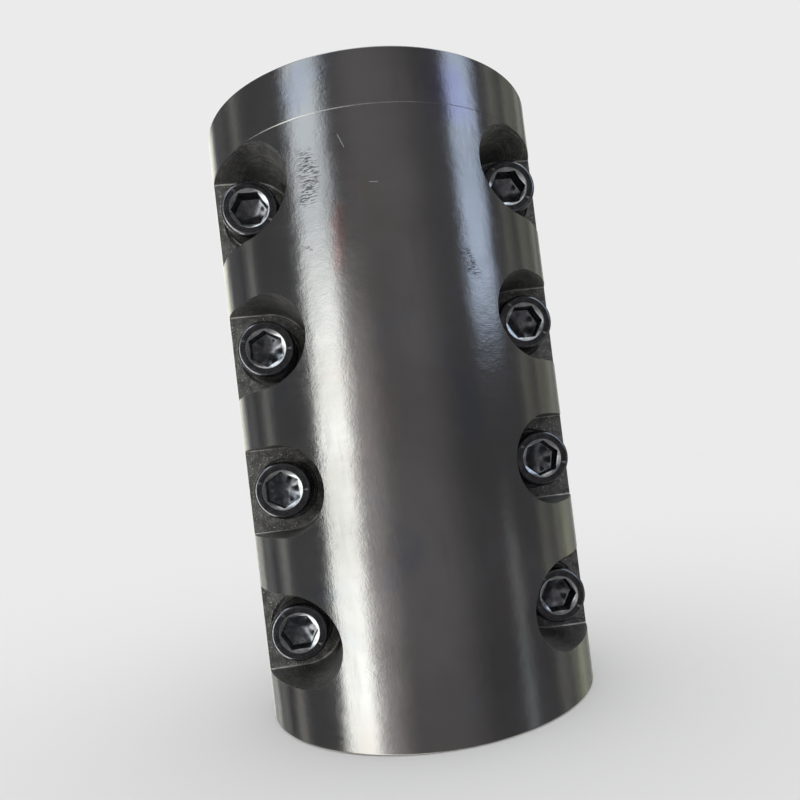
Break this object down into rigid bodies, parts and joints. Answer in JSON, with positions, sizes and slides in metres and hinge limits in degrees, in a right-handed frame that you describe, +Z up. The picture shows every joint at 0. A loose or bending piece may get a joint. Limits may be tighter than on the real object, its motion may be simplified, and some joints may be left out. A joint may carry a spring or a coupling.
{
  "type": "split rigid sleeve coupling",
  "caption": "Two-piece rigid sleeve coupling: two half shells clamped round two shaft ends by rows of socket head cap screws in milled side pockets, with parallel keys.",
  "frame": {"origin": "on the shaft axis at mid length, where the two shaft ends meet", "axes": "+Z up along the shaft axis; -Y towards the screw heads, square to the split plane Y = 0; +X to the right seen from the screw heads"},
  "size_m": [0.11, 0.11, 0.193],
  "materials": {
    "sleeve_steel": "turned, blackened and oiled steel, dark and glossy, with milled pockets",
    "screw_steel": "black oxide alloy steel with worn bright edges",
    "washer_steel": "dark phosphated spring steel",
    "key_steel": "bright drawn key steel"
  },
  "bodies": {
    "rear_half": {"rear_half_shell": "sleeve_steel", "upper_key": "key_steel", "lower_key": "key_steel"},
    "front_half": {"front_half_shell": "sleeve_steel"},
    "washer_left_1": {"spring_washer_left_1": "washer_steel"},
    "screw_left_1": {"cap_screw_left_1": "screw_steel"},
    "washer_left_2": {"spring_washer_left_2": "washer_steel"},
    "screw_left_2": {"cap_screw_left_2": "screw_steel"},
    "washer_left_3": {"spring_washer_left_3": "washer_steel"},
    "screw_left_3": {"cap_screw_left_3": "screw_steel"},
    "washer_left_4": {"spring_washer_left_4": "washer_steel"},
    "screw_left_4": {"cap_screw_left_4": "screw_steel"},
    "washer_right_1": {"spring_washer_right_1": "washer_steel"},
    "screw_right_1": {"cap_screw_right_1": "screw_steel"},
    "washer_right_2": {"spring_washer_right_2": "washer_steel"},
    "screw_right_2": {"cap_screw_right_2": "screw_steel"},
    "washer_right_3": {"spring_washer_right_3": "washer_steel"},
    "screw_right_3": {"cap_screw_right_3": "screw_steel"},
    "washer_right_4": {"spring_washer_right_4": "washer_steel"},
    "screw_right_4": {"cap_screw_right_4": "screw_steel"}
  },
  "joints": [
    {"name": "front_half_lift_off", "type": "slide", "parent": "rear_half", "child": "front_half", "axis": [0, -1, 0], "range_m": [0, 0.06]},
    {"name": "screw_back_out_left_1", "type": "slide", "parent": "front_half", "child": "washer_left_1", "axis": [0, -1, 0], "range_m": [0, 0.021]},
    {"name": "screw_turn_left_1", "type": "hinge", "parent": "washer_left_1", "child": "screw_left_1", "pos_m": [-0.0415, -0.0137, 0.0666], "axis": [0, -1, 0], "range_deg": [0, 4330]},
    {"name": "screw_back_out_left_2", "type": "slide", "parent": "front_half", "child": "washer_left_2", "axis": [0, -1, 0], "range_m": [0, 0.021]},
    {"name": "screw_turn_left_2", "type": "hinge", "parent": "washer_left_2", "child": "screw_left_2", "pos_m": [-0.0415, -0.0137, 0.0222], "axis": [0, -1, 0], "range_deg": [0, 4330]},
    {"name": "screw_back_out_left_3", "type": "slide", "parent": "front_half", "child": "washer_left_3", "axis": [0, -1, 0], "range_m": [0, 0.021]},
    {"name": "screw_turn_left_3", "type": "hinge", "parent": "washer_left_3", "child": "screw_left_3", "pos_m": [-0.0415, -0.0137, -0.0222], "axis": [0, -1, 0], "range_deg": [0, 4330]},
    {"name": "screw_back_out_left_4", "type": "slide", "parent": "front_half", "child": "washer_left_4", "axis": [0, -1, 0], "range_m": [0, 0.021]},
    {"name": "screw_turn_left_4", "type": "hinge", "parent": "washer_left_4", "child": "screw_left_4", "pos_m": [-0.0415, -0.0137, -0.0666], "axis": [0, -1, 0], "range_deg": [0, 4330]},
    {"name": "screw_back_out_right_1", "type": "slide", "parent": "front_half", "child": "washer_right_1", "axis": [0, -1, 0], "range_m": [0, 0.021]},
    {"name": "screw_turn_right_1", "type": "hinge", "parent": "washer_right_1", "child": "screw_right_1", "pos_m": [0.0415, -0.0137, 0.0666], "axis": [0, -1, 0], "range_deg": [0, 4330]},
    {"name": "screw_back_out_right_2", "type": "slide", "parent": "front_half", "child": "washer_right_2", "axis": [0, -1, 0], "range_m": [0, 0.021]},
    {"name": "screw_turn_right_2", "type": "hinge", "parent": "washer_right_2", "child": "screw_right_2", "pos_m": [0.0415, -0.0137, 0.0222], "axis": [0, -1, 0], "range_deg": [0, 4330]},
    {"name": "screw_back_out_right_3", "type": "slide", "parent": "front_half", "child": "washer_right_3", "axis": [0, -1, 0], "range_m": [0, 0.021]},
    {"name": "screw_turn_right_3", "type": "hinge", "parent": "washer_right_3", "child": "screw_right_3", "pos_m": [0.0415, -0.0137, -0.0222], "axis": [0, -1, 0], "range_deg": [0, 4330]},
    {"name": "screw_back_out_right_4", "type": "slide", "parent": "front_half", "child": "washer_right_4", "axis": [0, -1, 0], "range_m": [0, 0.021]},
    {"name": "screw_turn_right_4", "type": "hinge", "parent": "washer_right_4", "child": "screw_right_4", "pos_m": [0.0415, -0.0137, -0.0666], "axis": [0, -1, 0], "range_deg": [0, 4330]}
  ],
  "couplings": [
    {"joint": "screw_turn_left_1", "follows": "screw_back_out_left_1", "rad_per_m": 3590.4},
    {"joint": "screw_turn_left_2", "follows": "screw_back_out_left_2", "rad_per_m": 3590.4},
    {"joint": "screw_turn_left_3", "follows": "screw_back_out_left_3", "rad_per_m": 3590.4},
    {"joint": "screw_turn_left_4", "follows": "screw_back_out_left_4", "rad_per_m": 3590.4},
    {"joint": "screw_turn_right_1", "follows": "screw_back_out_right_1", "rad_per_m": 3590.4},
    {"joint": "screw_turn_right_2", "follows": "screw_back_out_right_2", "rad_per_m": 3590.4},
    {"joint": "screw_turn_right_3", "follows": "screw_back_out_right_3", "rad_per_m": 3590.4},
    {"joint": "screw_turn_right_4", "follows": "screw_back_out_right_4", "rad_per_m": 3590.4}
  ]
}
